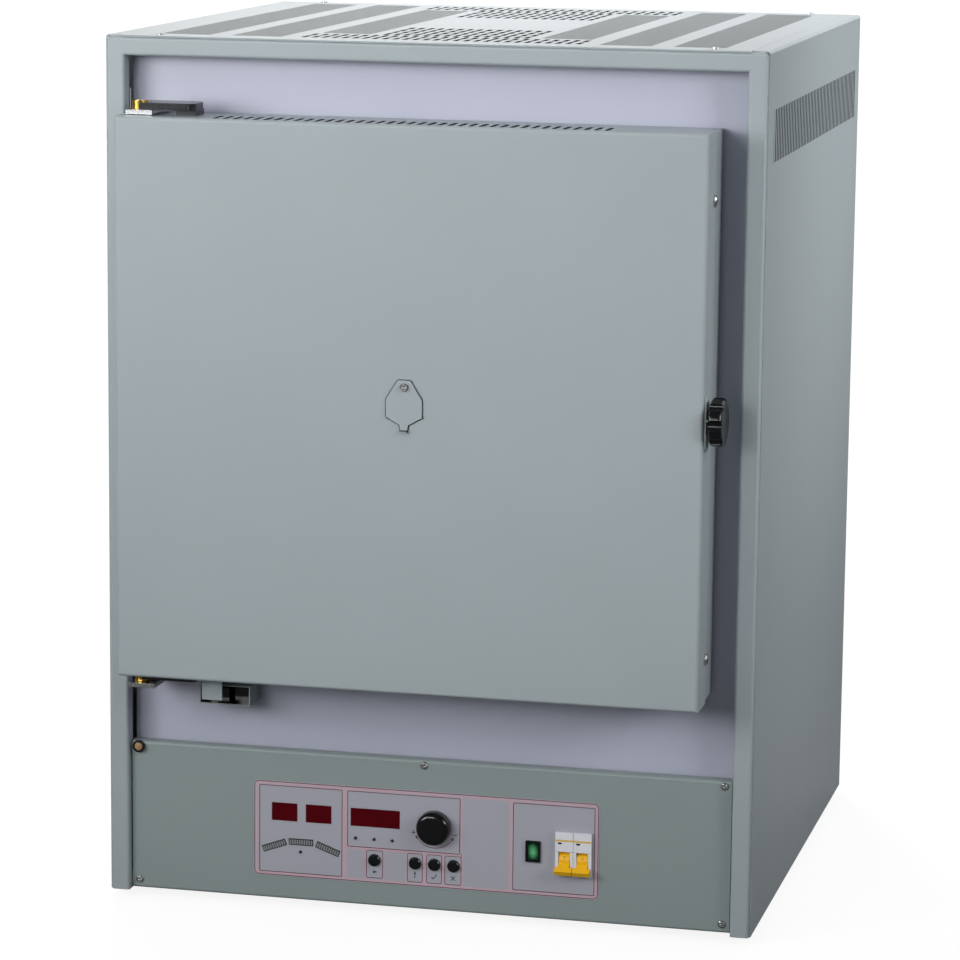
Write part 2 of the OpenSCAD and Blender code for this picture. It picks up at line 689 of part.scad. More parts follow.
module din_rail() color(steel) place() {
    plate_yz(breaker_x - 50, 100) translate([rail_y, breaker_z]) {
        translate([0.2, -17.5]) square([1, 6]);
        translate([0.2, 11.5]) square([1, 6]);
        translate([0.2, -12.5]) square([7.5, 1]);
        translate([0.2, 11.5]) square([7.5, 1]);
        translate([6.7, -12.5]) square([1, 25]);
    }
    for (s = [-1, 1]) translate([breaker_x + s * 25, 0, breaker_z]) {
        block([-1.5, panel_back, -17.5], [1.5, rail_y + 1.2, 17.5]);
        block([min(-1.5, s * 6.5), panel_back, -17.5], [max(1.5, s * 6.5), panel_back + 2, 17.5]);
    }
}

module relay_block() color("#e5e3dc") place() translate([90, 260, sheet_t]) {
    difference() {
        block([-29, -22, 40], [29, 22, 65]);
        for (sx = [-1, 1], sy = [-1, 1]) translate([sx * 22, sy * 14, 55]) cylinder(r = 4, h = 12);
    }
    for (sx = [-1, 1], sy = [-1, 1]) translate([sx * 22, sy * 14, 55]) cylinder(r = 3.4, h = 9);
}

module relay_heatsink() color("#b9bcc0") place() translate([90, 260, sheet_t]) difference() {
    block([-60, -50, 0], [60, 50, 40]);
    for (i = [-5 : 5]) block([i * 10 - 3.4, -51, 7], [i * 10 + 3.4, 51, 33]);
    for (s = [-1, 1]) block([s * 58 - 3.4, -51, 7], [s * 58 + 3.4, 51, 33]);
}

module terminal_block() color("#8b9290") place() translate([200, 470, sheet_t]) difference() {
    union() {
        block([-45, -14, 0], [45, 14, 8]);
        for (i = [0 : 5]) block([-44 + i * 15, -12, 8], [-31 + i * 15, 12, 34]);
    }
    for (i = [0 : 5], s = [-1, 1]) translate([-37.5 + i * 15, s * 7, 22]) cylinder(r = 2.6, h = 14);
}

fan_hub_r = 20;
fan_front = case_d - fan_d;

module fan_frame() color(black) place() translate([fan_x, 0, fan_z]) {
    plate_xz(fan_front, fan_d) difference() {
        soft_rect(fan_s, fan_s, 5);
        circle(fan_s / 2 - 3);
        fan_holes();
    }
    plate_xz(case_d - 7, 7) {
        circle(fan_hub_r);
        for (a = [45 : 90 : 315]) rotate(a) translate([fan_hub_r - 2, -2]) square([fan_s / 2 - fan_hub_r, 4]);
    }
    rod_y(0, fan_front + 6, 0, 3, fan_d - 12);
}

module fan_rotor() color("#26292c") place() translate([fan_x, 0, fan_z]) difference() {
    union() {
        rod_y(0, fan_front + 3, 0, fan_hub_r, fan_d - 11);
        intersection() {
            rod_y(0, fan_front + 4, 0, fan_s / 2 - 5, fan_d - 13);
            for (i = [0 : 6]) rotate([0, i * 360 / 7, 0]) translate([0, fan_front + 4 + (fan_d - 13) / 2, 0])
                rotate([0, 0, 0]) rotate([0, 0, 38]) translate([-17, -1, fan_hub_r - 4]) cube([34, 2, 44]);
        }
    }
    rod_y(0, fan_front + 5.9, 0, 3 + run_gap, fan_d);
}

module fan_guard() color(steel) place() translate([fan_x, case_d + sheet_t + 5, fan_z]) rotate([-90, 0, 0]) {
    for (i = [1 : 5]) rotate_extrude() translate([i * (fan_s / 2 - 6) / 5 - 2, 0]) circle(1, $fn = 16);
    for (a = [45 : 90 : 315]) rotate(a) difference() {
        union() {
            translate([6, 0, 0]) rotate([0, 90, 0]) cylinder(r = 1.2, h = (fan_s / 2 - 7) * sqrt(2) - 10, $fn = 16);
            translate([(fan_s / 2 - 7) * sqrt(2), 0, -5]) cylinder(r = 5, h = 6);
        }
        translate([(fan_s / 2 - 7) * sqrt(2), 0, -6]) cylinder(r = screw_r + 0.2, h = 9);
    }
}

module cable_gland() color(black) place() translate([gland_x, 0, gland_z]) difference() {
    union() {
        plate_xz(case_d + sheet_t, 7) circle(12, $fn = 6);
        rod_y(0, case_d - 9, 0, 8, 30);
        plate_xz(case_d - 5, 5) circle(11.5, $fn = 6);
        translate([0, case_d + sheet_t + 7, 0]) rotate([-90, 0, 0]) cylinder(r1 = 11, r2 = 8.5, h = 13);
    }
    rod_y(0, case_d - 10, 0, 5, 40);
}

module casing_screws() color(steel) place() {
    for (x = [-272, 272], y = [12, case_d - 12]) translate([x, y, case_h]) rotate([-90, 0, 0]) screw_y(0, 0, 0);
    for (s = [-1, 1]) screw_y(s * (post_x - 9), panel_y, 10);
    for (s = [-1, 1]) screw_y(s * (post_x - 9), panel_y, panel_screw_z[1]);
    screw_y(mid_screw_x, panel_y, panel_screw_z[1]);
    for (s = [-1, 1], z = rear_screw_z())
        translate([s * (w2 - side_flange / 2), case_d + sheet_t, z]) rotate(180) screw_y(0, 0, 0);
}

module seal_cup() color(black) place() translate([-post_x + 9, panel_y, panel_screw_z[1]]) rotate([90, 0, 0]) {
    difference() {
        cylinder(r = 6, h = 4);
        translate([0, 0, -1]) cylinder(r = 4.4, h = 6);
    }
    translate([0, 0, 2.3]) cylinder(r = 4.38, h = 1);
}

// Hinges and latch

module hinge_bracket(z) difference() {
    union() {
        translate([0, 0, z]) linear_extrude(bracket_t) {
            translate([hinge_x - 10, hinge_y - 14]) square([26.5, bracket_y1 - hinge_y + 14]);
        }
        block([hinge_x - 10, fascia_back, z], [hinge_x + 16.5, bracket_y1, z + 30]);
    }
    translate([hinge_x, hinge_y, z - 1]) cylinder(r = pin_r + 0.02, h = bracket_t + 2);
    for (x = [-3, 11]) rod_y(hinge_x + x, fascia_back - 1, z + 21, screw_r, bracket_t + 2);
}

module hinge_brackets() color(steel) place() {
    hinge_bracket(upper_hinge_z);
    hinge_bracket(lower_hinge_z);
}

module hinge_pins() color(steel) place() for (z = [upper_hinge_z, lower_hinge_z]) translate([hinge_x, hinge_y, z]) {
    cylinder(r = pin_r, h = pin_top());
    translate([0, 0, -0.5]) cylinder(r = pin_r + 2, h = 0.5);
}

function pin_top() = bracket_t + 3 + arm_t - 0.5;

// The plate welded to the barrel, and its foot on the door; base is the height of the door's face below the foot
module hinge_arm(z, foot_z, foot_h0) {
    difference() {
        union() {
            translate([0, 0, z]) linear_extrude(arm_t) {
                translate([hinge_x + 2, hinge_y - 10]) square([arm_l - 8, 32]);
                translate([hinge_x + arm_l - 16, hinge_y - 4]) square([16, 20]);
                translate([hinge_x + arm_l - 6, hinge_y - 4]) circle(6);
                translate([hinge_x + arm_l - 6, hinge_y + 16]) circle(6);
            }
            block([hinge_x + 30, hinge_y - 11, z + 1.4], [hinge_x + 49, hinge_y - 9, z + arm_t - 1.4]);
            if (foot_h0 > 0) translate([0, 0, foot_z]) linear_extrude(foot_h0)
                translate([hinge_x + arm_l - 20, hinge_y - 7]) square([20, 27]);
        }
        translate([hinge_x, hinge_y, z - 1]) cylinder(r = barrel_r + 0.02, h = arm_t + 2);
    }
}

module hinge_arms() color("#3a3f45") place() {
    hinge_arm(upper_hinge_z + bracket_t + sheet_gap, door_z1, upper_hinge_z + bracket_t + sheet_gap - door_z1);
    hinge_arm(door_z - arm_t, 0, 0);
}

// Brass barrels that turn on the pins and carry the door on the brackets
module hinge_barrel(z0, z1) translate([hinge_x, hinge_y, z0]) difference() {
    cylinder(r = barrel_r, h = z1 - z0);
    translate([0, 0, -1]) cylinder(r = pin_r + run_gap, h = z1 - z0 + 2);
}

module hinge_barrels() color(brass) place() {
    hinge_barrel(upper_hinge_z + bracket_t + sheet_gap, upper_hinge_z + bracket_t + arm_t + 2);
    hinge_barrel(lower_hinge_z + bracket_t + sheet_gap, door_z - sheet_gap);
}

module latch_keeper() color(steel) place() difference() {
    union() {
        for (x = [keeper_x, hook_x + hook_t + 4])
            block([x, fascia_back, latch_z - 12], [x + cheek_t, keeper_in + 12, latch_z + 12]);
        block([keeper_x, keeper_in + 12, latch_z - 12], [hook_x + hook_t + 4 + cheek_t, keeper_in + 14.5, latch_z + 12]);
        block([hook_x + hook_t + 4, fascia_back, latch_z - 12], [hook_x + hook_t + 20, fascia_back + 2.5, latch_z + 12]);
        rod_x(keeper_x, keeper_in, latch_z, keeper_r, hook_t + 8 + 2 * cheek_t);
    }
    rod_y(hook_x + hook_t + 14, fascia_back - 1, latch_z, screw_r, 6);
}

// The hook hangs on the shaft; drawn at rest, it points up inside the door
module latch_hook() color(steel) place() translate([0, latch_y, latch_z]) {
    reach = latch_out + keeper_in;
    rod_x(hook_x, 0, 0, shaft_r, door_x1 + 2 + hub_l + 4 - hook_x);
    plate_yz(hook_x, hook_t) rotate(90) difference() {
        union() {
            circle(8);
            translate([0, -7]) square([reach + 8, 14]);
            translate([reach + 4, -2]) circle(7);
            translate([reach + 4, 0]) circle(7);
        }
        circle(shaft_r - 0.5);
        translate([reach - keeper_r - 0.9, -12]) square([2 * keeper_r + 1.8, 12]);
        translate([reach, 0]) circle(keeper_r + 0.9);
    }
}

module star_2d(r) difference() {
    circle(r);
    for (a = [0 : 45 : 315]) rotate(a) translate([r * 1.1, 0]) circle(r * 0.25);
}

module latch_knob() color(black) place()
    translate([door_x1 + 2 + sheet_gap, latch_y, latch_z]) rotate([0, 90, 0]) difference() {
        union() {
            intersection() {
                translate([0, 0, hub_l]) linear_extrude(knob_t) star_2d(knob_r);
                rotate_extrude() translate([0, hub_l]) {
                    square([knob_r - 3, knob_t]);
                    translate([knob_r - 3, 3]) circle(3, $fn = 24);
                    translate([knob_r - 3, knob_t - 3]) circle(3, $fn = 24);
                    translate([knob_r - 3, 3]) square([3, knob_t - 6]);
                }
            }
            cylinder(r = 11, h = hub_l);
        }
        translate([0, 0, -1]) cylinder(r = shaft_r + 0.02, h = hub_l + 5.3);
    }

module latch_escutcheon() color(paint) place() difference() {
    union() {
        plate_yz(door_x1, 2) translate([latch_y, latch_z]) rotate(90) slot(56, 16);
        rod_x(hook_x + hook_t + 0.5, latch_y, latch_z, 7, door_x1 - hook_x - hook_t);
    }
    rod_x(hook_x, latch_y, latch_z, shaft_r + run_gap, 30);
}

// Interlock under the door

module interlock_box() color("#5c6064") place() difference() {
    block([box_x, -box_out, box_z], [box_x + box_w, fascia_y, box_z + box_h]);
    block([box_x + 1.2, -box_out - 1, box_z + 1.2], [box_x + box_w - 1.2, fascia_y - 1.5, box_z + box_h - 1.2]);
    for (s = [0.2, 0.8]) rod_y(box_x + box_w * s, fascia_y - 3, box_z + box_h / 2 + 6, 1.6, 5);
}

module interlock_switch() color(black) place() difference() {
    union() {
        block([tab_x + 1, 2, box_z + 1.2], [tab_x + tab_w - 1, fascia_y - 1.5, box_z + 14]);
        block([tab_x + tab_w + 4, 6, box_z + 1.2], [box_x + box_w - 3, fascia_y - 1.5, box_z + 14]);
    }
}

module interlock_tab() color(paint) place() {
    block([tab_x, tab_y, door_z - tab_drop], [tab_x + tab_w, tab_y + tab_t, door_z]);
    block([tab_x, tab_y - 14, door_z - tab_t], [tab_x + tab_w, tab_y + tab_t, door_z]);
}

// Door

// A box with open back and folded edges round its front; low and high are its outer corners
module folded_front(low, high, r) intersection() {
    translate([0, 0, low[2]]) linear_extrude(high[2] - low[2]) {
        translate([low[0], low[1] + r]) square([high[0] - low[0], high[1] - low[1] - r]);
        translate([low[0] + r, low[1]]) square([high[0] - low[0] - 2 * r, r]);
        for (x = [low[0] + r, high[0] - r]) translate([x, low[1] + r]) circle(r);
    }
    plate_yz(low[0], high[0] - low[0]) {
        translate([low[1] + r, low[2]]) square([high[1] - low[1] - r, high[2] - low[2]]);
        translate([low[1], low[2] + r]) square([r, high[2] - low[2] - 2 * r]);
        for (z = [low[2] + r, high[2] - r]) translate([low[1] + r, z]) circle(r);
    }
}

module door_slots() for (z = [door_z - 1, door_z1 - sheet_t - 1])
    translate([door_mid_x, -door_out + 21, z]) linear_extrude(sheet_t + 2)
        for (i = [-19 : 19]) translate([i * vent_pitch, 0]) rotate(90) slot(30, vent_w - 0.5);

module door_cover() color(paint) place() difference() {
    folded_front([door_x, -door_out, door_z], [door_x1, -door_out + cover_d, door_z1], fold_r);
    folded_front([door_x + sheet_t, -door_out + sheet_t, door_z + sheet_t],
        [door_x1 - sheet_t, -door_out + cover_d + 1, door_z1 - sheet_t], fold_r - sheet_t);
    rod_y(door_mid_x, -door_out - 1, mid_z, peep_r + 1, 5);
    rod_y(door_mid_x, -door_out - 1, mid_z + flap_pivot, screw_r, 5);
    rod_x(door_x1 - 4, latch_y, latch_z, 7.1, 6);
    for (z = door_screw_z()) rod_x(door_x1 - 4, screw_y0, z, screw_r, 6);
    for (z = door_screw_z()) rod_x(door_x - 2, screw_y0, z, screw_r, 6);
    intersection() {
        door_slots();
        block([-w2, -w2, door_z + 20], [w2, w2, case_h]);
    }
    intersection() {
        door_slots();
        block([tab_x + tab_w + 5, -w2, 0], [w2, w2, door_z + 20]);
    }
}

screw_y0 = -door_out + cover_d - 8;

function door_screw_z() = [door_z + 45, door_z1 - 65];

pan_y0 = -door_out + cover_d - 16;

module door_pan() color(paint) place() difference() {
    block([door_x + pan_in, pan_y0, door_z + pan_in], [door_x1 - pan_in, door_back, door_z1 - pan_in]);
    block([door_x + pan_in + sheet_t, pan_y0 - 1, door_z + pan_in + sheet_t],
        [door_x1 - pan_in - sheet_t, door_back - sheet_t, door_z1 - pan_in - sheet_t]);
    translate([door_mid_x, 0, mid_z]) plate_xz(door_back - 4, 6) square([plug_w + 1, plug_h + 1], center = true);
    hook_slot(door_back - 4, 6);
    for (z = door_screw_z()) rod_x(door_x1 - 6, screw_y0, z, screw_r, 6);
    for (z = door_screw_z()) rod_x(door_x, screw_y0, z, screw_r, 6);
}

ins_x0 = door_x + 2 * sheet_t + 3.5;
ins_x1 = hook_x - hook_space;
ins_y0 = -door_out + sheet_t + 12;

module door_insulation() color(ceramic) place() difference() {
    union() {
        block([ins_x0, ins_y0, door_z + 2 * sheet_t + 1], [ins_x1, door_back - sheet_t, door_z1 - 2 * sheet_t - 1]);
        intersection() {
            plate_xz_taper(plug_w, plug_taper);
            plug_z_taper(plug_h, plug_taper);
        }
    }
    rod_y(door_mid_x, ins_y0 - 1, mid_z, peep_r + 4.1, 120);
}

plug_y1 = fascia_y + plug_in;

// The plug's outline seen from above
module plate_xz_taper(w, d) translate([door_mid_x, 0, mid_z - plug_h / 2]) linear_extrude(plug_h)
    polygon([[-w / 2, door_back - sheet_t - 1], [w / 2, door_back - sheet_t - 1], [w / 2 - d, plug_y1], [-w / 2 + d, plug_y1]]);

// The plug's outline seen from the side
module plug_z_taper(h, d) plate_yz(door_mid_x - plug_w / 2, plug_w) translate([0, mid_z])
    polygon([[door_back - sheet_t - 1, -h / 2], [door_back - sheet_t - 1, h / 2], [plug_y1, h / 2 - d], [plug_y1, -h / 2 + d]]);

module door_gasket() color("#d9d6cf") place() translate([door_mid_x, 0, mid_z])
    plate_xz(door_back, door_gap - sheet_gap) difference() {
        soft_rect(mouth_w + 36, mouth_h + 36, 14);
        soft_rect(mouth_w + 12, mouth_h + 12, 6);
    }

module peephole_tube() color("#d8cfc0") place() difference() {
    rod_y(door_mid_x, -door_out + sheet_t, mid_z, peep_r + 4, plug_y1 + door_out - sheet_t);
    rod_y(door_mid_x, -door_out, mid_z, peep_r, 140);
}

module flap_2d() difference() {
    union() {
        polygon([[-6.4, 7], [6.4, 7], [18.3, -12], [18.3, -29.5], [5, -37], [4.2, -42], [-4.2, -42], [-5, -37],
            [-18.3, -29.5], [-18.3, -12]]);
        for (x = [-17.3, 17.3], z = [-12.5, -29.1]) translate([x, z]) circle(1, $fn = 24);
    }
    circle(screw_r + run_gap);
}

module peephole_flap() color(paint) place() translate([door_mid_x, 0, mid_z + flap_pivot]) {
    plate_xz(-door_out - sheet_gap - flap_t, flap_t) flap_2d();
    block([-4.2, -door_out - sheet_gap - flap_t - 4, -43.2], [4.2, -door_out - sheet_gap, -42]);
}

module door_screws() color(steel) place() {
    translate([door_mid_x, 0, mid_z + flap_pivot]) {
        rod_y(0, -door_out - 2 * sheet_gap - flap_t, 0, screw_r, flap_t + 6);
        difference() {
            rod_y(0, -door_out - 2 * sheet_gap - flap_t - 2.2, 0, 3.8, 2.2);
            block([-2.4, -door_out - 6, -0.45], [2.4, -door_out - 2 * sheet_gap - flap_t - 1.2, 0.45]);
        }
    }
    for (z = door_screw_z()) {
        translate([door_x1, screw_y0, z]) rotate([0, 0, 90]) screw_y(0, 0, 0, 5.8, 1.6);
        translate([door_x, screw_y0, z]) rotate([0, 0, -90]) screw_y(0, 0, 0, 5.8, 1.6);
    }
}

// Moving controls

module setting_knob() color(black) place() translate([set_x, panel_face - 1, set_z]) rotate([90, 0, 0]) {
    rotate_extrude() difference() {
        union() {
            square([set_r - 6, set_d]);
            square([set_r, set_d - 6]);
            translate([set_r - 6, set_d - 6]) circle(6, $fn = 48);
        }
        translate([-1, -1]) square([9, 6]);
        translate([-1, -1]) square([3, 8]);
    }
    translate([0, 0, -14]) cylinder(r = 3, h = 22);
}

module button(x) color(black) place() {
    rod_y(x, panel_face - 2.6, button_z, button_r, switch_y - panel_face - button_travel + 2.2);
    translate([x, panel_face - 2.6, button_z]) rotate([90, 0, 0]) cylinder(r1 = button_r, r2 = button_r - 0.8, h = 0.8);
    rod_y(x, switch_y - button_travel - 1, button_z, 2, button_travel + 5);
}

module button_start() button(button_xs()[0]);
module button_shift() button(button_xs()[1]);
module button_enter() button(button_xs()[2]);
module button_cancel() button(button_xs()[3]);

module rocker_lever() color("#4fa468") place() translate([rocker_x, panel_face + 4, rocker_z]) rotate([rocker_swing / 2, 0, 0]) {
    plate_yz(-rocker_w / 2 + 2.3, rocker_w - 4.6)
        polygon([[5, -5.5], [5, 5.5], [-1, 7.8], [-5.4, 7.8], [-3.9, 0], [-5.4, -7.8], [-1, -7.8]]);
    rod_x(-6.3, 0, 0, 1.5, 12.6);
}

module breaker_toggles() color("#e0ae1c") place() translate([breaker_x, toggle_y, breaker_z + toggle_z]) {
    for (s = [-1, 1]) {
        rod_x(s * breaker_w / 4 - 5.5, 0, 0, 8.6, 11);
        plate_yz(s * breaker_w / 4 - 5.5, 11) rotate(180 + toggle_swing / 2) translate([0, -2.6]) square([16, 5.2]);
    }
    difference() {
        plate_yz(-breaker_w / 2 + 0.5, breaker_w - 1) rotate(180 + toggle_swing / 2)
            translate([13.6, -2.6]) square([6, 5.2]);
        block([-0.4, -40, -40], [0.4, -13, 40]);
    }
}

front_frame();
side_panel_left();
side_panel_right();
top_panel();
rear_panel();
base_pan();
feet();
fascia();
bay_shelf();
inner_case();
mouth_collar();
chamber_insulation();
heating_coils();
hearth_plate();
thermocouple();
exhaust_tube();
control_panel();
control_overlay();
display_windows();
indicator_lamps();
control_board();
encoder_body();
button_switches();
rocker_bezel();
breaker_body();
din_rail();
relay_block();
relay_heatsink();
terminal_block();
fan_frame();
fan_guard();
cable_gland();
hinge_brackets();
hinge_pins();
latch_keeper();
interlock_box();
interlock_switch();
casing_screws();
seal_cup();
door_cover();
door_pan();
door_insulation();
door_gasket();
peephole_tube();
hinge_arms();
hinge_barrels();
latch_escutcheon();
interlock_tab();
door_screws();
latch_knob();
latch_hook();
peephole_flap();
setting_knob();
button_start();
button_shift();
button_enter();
button_cancel();
rocker_lever();
breaker_toggles();
fan_rotor();
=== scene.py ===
import math

import bmesh
import bpy
from mathutils import Matrix, Vector


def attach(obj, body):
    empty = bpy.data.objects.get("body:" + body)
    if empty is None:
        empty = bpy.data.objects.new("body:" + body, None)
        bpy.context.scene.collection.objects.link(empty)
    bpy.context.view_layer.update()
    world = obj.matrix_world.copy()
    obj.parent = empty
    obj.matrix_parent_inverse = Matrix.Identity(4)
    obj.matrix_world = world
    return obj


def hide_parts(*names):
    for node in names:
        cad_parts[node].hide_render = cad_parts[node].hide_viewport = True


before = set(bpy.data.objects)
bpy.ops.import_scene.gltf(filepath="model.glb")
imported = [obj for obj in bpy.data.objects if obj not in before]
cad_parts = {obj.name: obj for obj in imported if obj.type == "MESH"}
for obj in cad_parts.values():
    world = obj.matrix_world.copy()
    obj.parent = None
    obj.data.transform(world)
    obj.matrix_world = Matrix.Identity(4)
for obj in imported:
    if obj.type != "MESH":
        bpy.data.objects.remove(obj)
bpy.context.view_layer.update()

# The furnace's own frame: millimetres, with depths from the front posts and heights from the casing's edge
FRONT_Y = -281.5
FOOT_H = 8.0
IMAGE_PX = 960


def at(x, y, z):
    """A point of the furnace's own frame in millimetres, as a point of the scene in metres."""
    return Vector((x / 1000, (y + FRONT_Y) / 1000, (z + FOOT_H) / 1000))


# Camera
CAMERA_AT = (896.0, -3569.0, 1100.0)
CAMERA_YAW = 13.42
CAMERA_PITCH = 10.12
CAMERA_ROLL = 0.58
FOCAL_PX = 3869.0
CENTRE_PX = (472.0, 471.0)


def place_camera():
    """A long lens at the photograph's angle, in front of the door, a little to the right and above."""
    yaw, pitch, roll = (math.radians(a) for a in (CAMERA_YAW, CAMERA_PITCH, CAMERA_ROLL))
    ahead = Vector((-math.sin(yaw) * math.cos(pitch), math.cos(yaw) * math.cos(pitch), -math.sin(pitch)))
    right = Vector((math.cos(yaw), math.sin(yaw), 0))
    up = right.cross(ahead)
    turned = Matrix.Rotation(roll, 3, ahead)
    right, up = turned.inverted() @ right, turned.inverted() @ up
    lens = bpy.data.cameras.new("camera")
    lens.sensor_width = 36.0
    lens.lens = FOCAL_PX / IMAGE_PX * lens.sensor_width
    lens.shift_x = 0.5 - CENTRE_PX[0] / IMAGE_PX
    lens.shift_y = CENTRE_PX[1] / IMAGE_PX - 0.5
    lens.clip_end = 100.0
    camera = bpy.data.objects.new("camera", lens)
    bpy.context.collection.objects.link(camera)
    camera.matrix_world = Matrix.Translation(at(*CAMERA_AT)) @ Matrix((right, up, -ahead)).transposed().to_4x4()
    bpy.context.scene.camera = camera


# Materials
def linear(code):
    """An sRGB hex colour as linear red, green, blue and alpha."""
    channels = [int(code[i:i + 2], 16) / 255 for i in (0, 2, 4)]
    return [c / 12.92 if c <= 0.04045 else ((c + 0.055) / 1.055) ** 2.4 for c in channels] + [1.0]


def add(tree, kind, settings=None, links=None):
    """Adds a shader node, sets its sockets or properties and links its inputs to other nodes' outputs."""
    made = tree.nodes.new("ShaderNode" + kind)
    for name, value in (settings or {}).items():
        if isinstance(name, int) or name in made.inputs:
            made.inputs[name].default_value = value
        else:
            setattr(made, name, value)
    for name, source in (links or {}).items():
        tree.links.new(source, made.inputs[name])
    return made


def new_material(name):
    """A material, its node tree, its shader and its object coordinates."""
    made = bpy.data.materials.new(name)
    made.use_nodes = True
    tree = made.node_tree
    return made, tree, tree.nodes["Principled BSDF"], add(tree, "TexCoord").outputs["Object"]


def noise(tree, where, size_mm, detail=2.0, rough=0.5):
    """Noise whose patches are about size_mm across."""
    return add(tree, "TexNoise", {"Scale": 1000 / size_mm, "Detail": detail, "Roughness": rough},
               {"Vector": where}).outputs["Fac"]


def spread(tree, value, low, high, begin=0.3, end=0.7):
    """Maps a noise value between begin and end to low and high."""
    return add(tree, "MapRange", {"From Min": begin, "From Max": end, "To Min": low, "To Max": high},
               {"Value": value}).outputs["Result"]


def finish(name, colour, rough, vary=0.03, vary_mm=80, grain_mm=1.0, grain_um=6, streak=(1, 1, 1),
           rough_vary=0.04, edge_mm=0.4, **shader_values):
    """A surface whose tone wanders a little over patches vary_mm wide, with grain_um high bumps grain_mm apart.

    streak stretches the grain along the axes where it is below 1, as a brush or a roller does."""
    made, tree, shader, where = new_material(name)
    laid = add(tree, "Mapping", {"Scale": streak}, {"Vector": where}).outputs["Vector"]
    tone = spread(tree, noise(tree, where, vary_mm, 4.0), 1 - vary, 1 + vary)
    colour_node = add(tree, "HueSaturation", {"Color": linear(colour)}, {"Value": tone})
    tree.links.new(colour_node.outputs["Color"], shader.inputs["Base Color"])
    grain = noise(tree, laid, grain_mm, 2.0)
    tree.links.new(spread(tree, grain, rough - rough_vary, rough + rough_vary), shader.inputs["Roughness"])
    soft_edge = add(tree, "Bevel", {"samples": 4, "Radius": edge_mm / 1000})
    bump = add(tree, "Bump", {"Strength": 1.0, "Distance": grain_um * 1e-6},
               {"Height": grain, "Normal": soft_edge.outputs["Normal"]})
    tree.links.new(bump.outputs["Normal"], shader.inputs["Normal"])
    for socket, value in shader_values.items():
        shader.inputs[socket.replace("_", " ")].default_value = value
    return made


# Powder coat has a fine orange-peel skin about 1.4 mm from crest to crest, which softens what it reflects
casing_coat = finish("powder_coat_grey_green", "A3ADB1", 0.34, vary=0.012, grain_mm=1.4, grain_um=14)
# The fascia is a smoother lilac-grey enamel that picks up soft gradients
fascia_enamel = finish("enamel_lilac_grey", "B8BBCC", 0.34, vary=0.012, grain_mm=2.0, grain_um=5)
# The control panel and the switch hood: the casing's paint made darker, as painted shade for the dimmer light low on
# the front
shaded_panel_coat = finish("powder_coat_darkened_as_shade", "8E9A9A", 0.42, vary=0.012, grain_mm=1.4, grain_um=10)
# Dark glossy enamel on the hinge arms
bracket_coat = finish("enamel_dark_grey", "1B1E23", 0.24, grain_mm=1.2, grain_um=5)
# Zinc-plated sheet: a cool metal with faint rolling streaks along its length
zinc_sheet = finish("zinc_plated_sheet", "B9BDC2", 0.38, vary=0.05, vary_mm=12, grain_mm=1.2, grain_um=3,
                    streak=(0.08, 1, 1), Metallic=1.0)
# Turned and nickel-plated screws, pins and brackets
bright_steel = finish("nickel_plated_steel", "C6C8CA", 0.26, vary=0.03, vary_mm=6, grain_mm=0.8, grain_um=2,
                      Metallic=1.0)
# Turned brass with fine rings from the lathe tool
hinge_brass = finish("turned_brass", "C8A048", 0.28, vary=0.04, vary_mm=6, grain_mm=0.6, grain_um=3,
                     streak=(0.2, 0.2, 1), Metallic=1.0)
# Mild steel jacket round the hot insulation, coloured near-black as painted shade, so that what shows through the
# vents reads dark
shade_dark_steel = finish("steel_darkened_as_shade", "2A2A2C", 0.55, vary=0.12, vary_mm=40, grain_mm=1.0, grain_um=5,
                          Metallic=0.6)
# The walls of the vent slots and the flap's outline: near-black, as painted shade for the dark seen through the
# openings and in the gap round the flap, with a fine grain
painted_shade_edge = finish("slot_and_gap_painted_shade", "1B1C1D", 0.6, vary=0.1, vary_mm=6, grain_mm=0.6, grain_um=5)
# Die-extruded aluminium of the heat sink
heatsink_metal = finish("extruded_aluminium", "C2C5C8", 0.35, grain_mm=1.0, streak=(1, 0.05, 1), Metallic=1.0)
# Injection-moulded black plastic: knobs, keys, switch housings, fan and gland
black_plastic = finish("moulded_black_abs", "0A0B0D", 0.16, vary=0.05, vary_mm=20, grain_mm=0.7, grain_um=4)
# Soft black rubber of the feet
foot_rubber = finish("moulded_rubber", "1C1C1C", 0.72, vary=0.08, vary_mm=10, grain_mm=0.8, grain_um=12)
# Vacuum-formed fibre board: chalk white with a felted surface
fibre_board = finish("ceramic_fibre_board", "E9E5DB", 0.92, vary=0.05, vary_mm=25, grain_mm=2.5, grain_um=220,
                     rough_vary=0.02)
# Cast and fired ceramic: warmer, denser and finer than the board
fired_ceramic = finish("fired_ceramic", "D3C9B6", 0.80, vary=0.07, vary_mm=35, grain_mm=1.6, grain_um=60,
                       rough_vary=0.03)
# Kiln wire with the grey-brown oxide that it grows in its first firing
kiln_wire = finish("oxidised_heating_wire", "6E625A", 0.55, vary=0.15, vary_mm=8, grain_mm=0.6, grain_um=5,
                   Metallic=0.7)
# Printed polyester film of the overlay, satin so that it doesn't glare
overlay_film = finish("polyester_film_grey_blue", "A9AAB5", 0.45, vary=0.01, grain_mm=0.8, grain_um=2, edge_mm=0.1)
print_red = finish("screen_print_dark_red", "6B2C3E", 0.48, vary=0.02, grain_mm=0.8, grain_um=2, edge_mm=0.02)
print_pink = finish("screen_print_pink", "C0A8B2", 0.48, vary=0.02, grain_mm=0.8, grain_um=2, edge_mm=0.02)
print_dark = finish("screen_print_charcoal", "3B3F46", 0.48, vary=0.02, grain_mm=0.8, grain_um=2, edge_mm=0.02)
# Tinted acrylic in front of the unlit digits
red_acrylic = finish("tinted_acrylic_red", "4E0009", 0.35, vary=0.10, vary_mm=14, grain_mm=3, grain_um=1, edge_mm=0.1,
                     Specular_IOR_Level=0.1)
